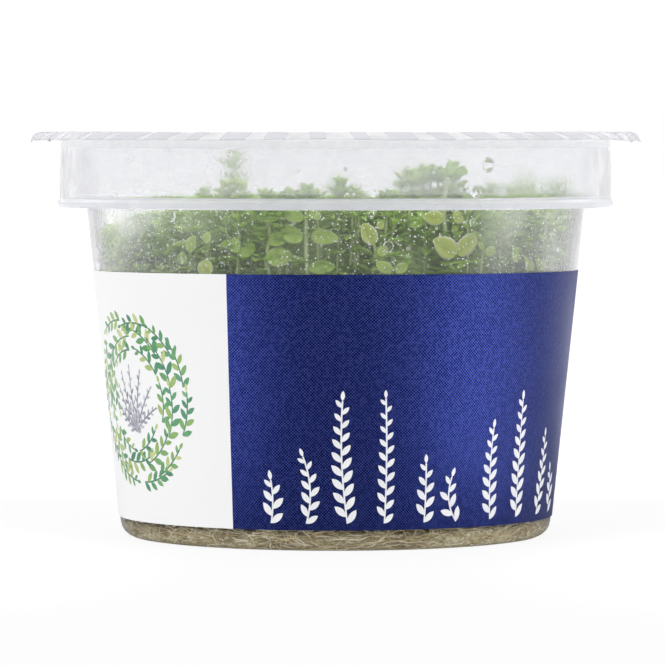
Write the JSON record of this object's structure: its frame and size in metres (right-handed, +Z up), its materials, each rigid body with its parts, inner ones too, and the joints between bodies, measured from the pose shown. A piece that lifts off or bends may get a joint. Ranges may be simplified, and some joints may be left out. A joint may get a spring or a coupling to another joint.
{
  "type": "in-vitro aquarium plant cup",
  "caption": "Sealed clear cup of small-leaved aquarium stem plants growing in culture gel, with a film lid and a wrap label.",
  "frame": {"origin": "centre of the cup's flat base, on the surface that it stands on", "axes": "+Z up along the cup's axis, -Y towards the label's front, +X to the right seen from the front"},
  "size_m": [0.1102, 0.1102, 0.0729],
  "materials": {
    "clear_plastic": "gloss",
    "film": "gloss",
    "label": "satin",
    "gel": "gloss",
    "roots": "matte",
    "leaf_green": "satin"
  },
  "bodies": {
    "root": {"cup": "clear_plastic", "film_lid": "film", "label": "label", "gel": "gel", "root_mat": "roots", "plantlet_01": "leaf_green", "plantlet_02": "leaf_green", "plantlet_03": "leaf_green", "plantlet_04": "leaf_green", "plantlet_05": "leaf_green", "plantlet_06": "leaf_green", "plantlet_07": "leaf_green", "plantlet_08": "leaf_green", "plantlet_09": "leaf_green", "plantlet_10": "leaf_green", "plantlet_11": "leaf_green", "plantlet_12": "leaf_green", "plantlet_13": "leaf_green", "plantlet_14": "leaf_green", "plantlet_15": "leaf_green", "plantlet_16": "leaf_green", "plantlet_17": "leaf_green", "plantlet_18": "leaf_green", "plantlet_19": "leaf_green", "plantlet_20": "leaf_green", "plantlet_21": "leaf_green", "plantlet_22": "leaf_green", "plantlet_23": "leaf_green", "plantlet_24": "leaf_green", "plantlet_25": "leaf_green", "plantlet_26": "leaf_green", "plantlet_27": "leaf_green"}
  },
  "joints": []
}
